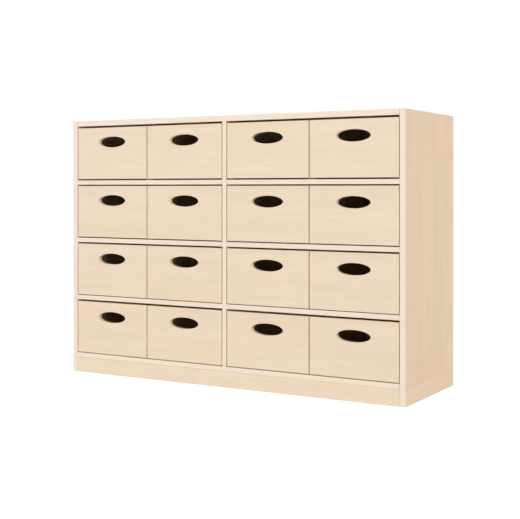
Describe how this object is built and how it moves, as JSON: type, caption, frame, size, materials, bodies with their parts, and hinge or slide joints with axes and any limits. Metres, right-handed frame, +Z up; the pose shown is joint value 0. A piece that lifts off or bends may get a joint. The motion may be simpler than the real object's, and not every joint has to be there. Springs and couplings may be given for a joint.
{
  "type": "tray storage cabinet",
  "caption": "Free-standing wooden classroom cabinet on a plinth, with shelves in two bays and pull-out trays with elliptical hand-holes.",
  "frame": {"origin": "on the floor, in the middle of the footprint", "axes": "+Z up, +X along the width to the right, -Y towards the open front"},
  "size_m": [1.242, 0.405, 0.87],
  "materials": {
    "carcass_board": "maple-look board, matt lacquer",
    "lipping": "pale maple lipping, matt lacquer",
    "plinth_board": "maple-look board, matt lacquer",
    "plinth_block": "planed softwood",
    "back_panel": "thin faced board",
    "tray_front": "maple-look board, matt lacquer",
    "tray_box": "birch plywood, matt lacquer",
    "dowel": "beech, bare",
    "zinc_steel": "zinc-plated steel"
  },
  "bodies": {
    "cabinet": {"side_left": "carcass_board", "side_right": "carcass_board", "top_panel": "carcass_board", "bottom_panel": "carcass_board", "centre_divider": "carcass_board", "shelf_left_1": "carcass_board", "shelf_left_2": "carcass_board", "shelf_left_3": "carcass_board", "shelf_right_1": "carcass_board", "shelf_right_2": "carcass_board", "shelf_right_3": "carcass_board", "shelf_lippings": "lipping", "shelf_pins": "zinc_steel", "back_panel_left": "back_panel", "back_panel_right": "back_panel", "side_lippings": "lipping", "top_lipping": "lipping", "bottom_lipping": "lipping", "divider_lipping": "lipping", "carcass_dowels": "dowel", "plinth_front": "plinth_board", "plinth_rear": "plinth_board", "plinth_left": "plinth_board", "plinth_right": "plinth_board", "plinth_lippings": "lipping", "plinth_dowels": "dowel", "plinth_blocks": "plinth_block", "plinth_screws": "zinc_steel"},
    "tray_row1_col1": {"tray_row1_col1_front": "tray_front", "tray_row1_col1_box": "tray_box"},
    "tray_row1_col2": {"tray_row1_col2_front": "tray_front", "tray_row1_col2_box": "tray_box"},
    "tray_row1_col3": {"tray_row1_col3_front": "tray_front", "tray_row1_col3_box": "tray_box"},
    "tray_row1_col4": {"tray_row1_col4_front": "tray_front", "tray_row1_col4_box": "tray_box"},
    "tray_row2_col1": {"tray_row2_col1_front": "tray_front", "tray_row2_col1_box": "tray_box"},
    "tray_row2_col2": {"tray_row2_col2_front": "tray_front", "tray_row2_col2_box": "tray_box"},
    "tray_row2_col3": {"tray_row2_col3_front": "tray_front", "tray_row2_col3_box": "tray_box"},
    "tray_row2_col4": {"tray_row2_col4_front": "tray_front", "tray_row2_col4_box": "tray_box"},
    "tray_row3_col1": {"tray_row3_col1_front": "tray_front", "tray_row3_col1_box": "tray_box"},
    "tray_row3_col2": {"tray_row3_col2_front": "tray_front", "tray_row3_col2_box": "tray_box"},
    "tray_row3_col3": {"tray_row3_col3_front": "tray_front", "tray_row3_col3_box": "tray_box"},
    "tray_row3_col4": {"tray_row3_col4_front": "tray_front", "tray_row3_col4_box": "tray_box"},
    "tray_row4_col1": {"tray_row4_col1_front": "tray_front", "tray_row4_col1_box": "tray_box"},
    "tray_row4_col2": {"tray_row4_col2_front": "tray_front", "tray_row4_col2_box": "tray_box"},
    "tray_row4_col3": {"tray_row4_col3_front": "tray_front", "tray_row4_col3_box": "tray_box"},
    "tray_row4_col4": {"tray_row4_col4_front": "tray_front", "tray_row4_col4_box": "tray_box"}
  },
  "joints": [
    {"name": "tray_row1_col1_slide", "type": "slide", "parent": "cabinet", "child": "tray_row1_col1", "axis": [0, -1, 0], "range_m": [0, 0.3]},
    {"name": "tray_row1_col2_slide", "type": "slide", "parent": "cabinet", "child": "tray_row1_col2", "axis": [0, -1, 0], "range_m": [0, 0.3]},
    {"name": "tray_row1_col3_slide", "type": "slide", "parent": "cabinet", "child": "tray_row1_col3", "axis": [0, -1, 0], "range_m": [0, 0.3]},
    {"name": "tray_row1_col4_slide", "type": "slide", "parent": "cabinet", "child": "tray_row1_col4", "axis": [0, -1, 0], "range_m": [0, 0.3]},
    {"name": "tray_row2_col1_slide", "type": "slide", "parent": "cabinet", "child": "tray_row2_col1", "axis": [0, -1, 0], "range_m": [0, 0.3]},
    {"name": "tray_row2_col2_slide", "type": "slide", "parent": "cabinet", "child": "tray_row2_col2", "axis": [0, -1, 0], "range_m": [0, 0.3]},
    {"name": "tray_row2_col3_slide", "type": "slide", "parent": "cabinet", "child": "tray_row2_col3", "axis": [0, -1, 0], "range_m": [0, 0.3]},
    {"name": "tray_row2_col4_slide", "type": "slide", "parent": "cabinet", "child": "tray_row2_col4", "axis": [0, -1, 0], "range_m": [0, 0.3]},
    {"name": "tray_row3_col1_slide", "type": "slide", "parent": "cabinet", "child": "tray_row3_col1", "axis": [0, -1, 0], "range_m": [0, 0.3]},
    {"name": "tray_row3_col2_slide", "type": "slide", "parent": "cabinet", "child": "tray_row3_col2", "axis": [0, -1, 0], "range_m": [0, 0.3]},
    {"name": "tray_row3_col3_slide", "type": "slide", "parent": "cabinet", "child": "tray_row3_col3", "axis": [0, -1, 0], "range_m": [0, 0.3]},
    {"name": "tray_row3_col4_slide", "type": "slide", "parent": "cabinet", "child": "tray_row3_col4", "axis": [0, -1, 0], "range_m": [0, 0.3]},
    {"name": "tray_row4_col1_slide", "type": "slide", "parent": "cabinet", "child": "tray_row4_col1", "axis": [0, -1, 0], "range_m": [0, 0.3]},
    {"name": "tray_row4_col2_slide", "type": "slide", "parent": "cabinet", "child": "tray_row4_col2", "axis": [0, -1, 0], "range_m": [0, 0.3]},
    {"name": "tray_row4_col3_slide", "type": "slide", "parent": "cabinet", "child": "tray_row4_col3", "axis": [0, -1, 0], "range_m": [0, 0.3]},
    {"name": "tray_row4_col4_slide", "type": "slide", "parent": "cabinet", "child": "tray_row4_col4", "axis": [0, -1, 0], "range_m": [0, 0.3]}
  ]
}
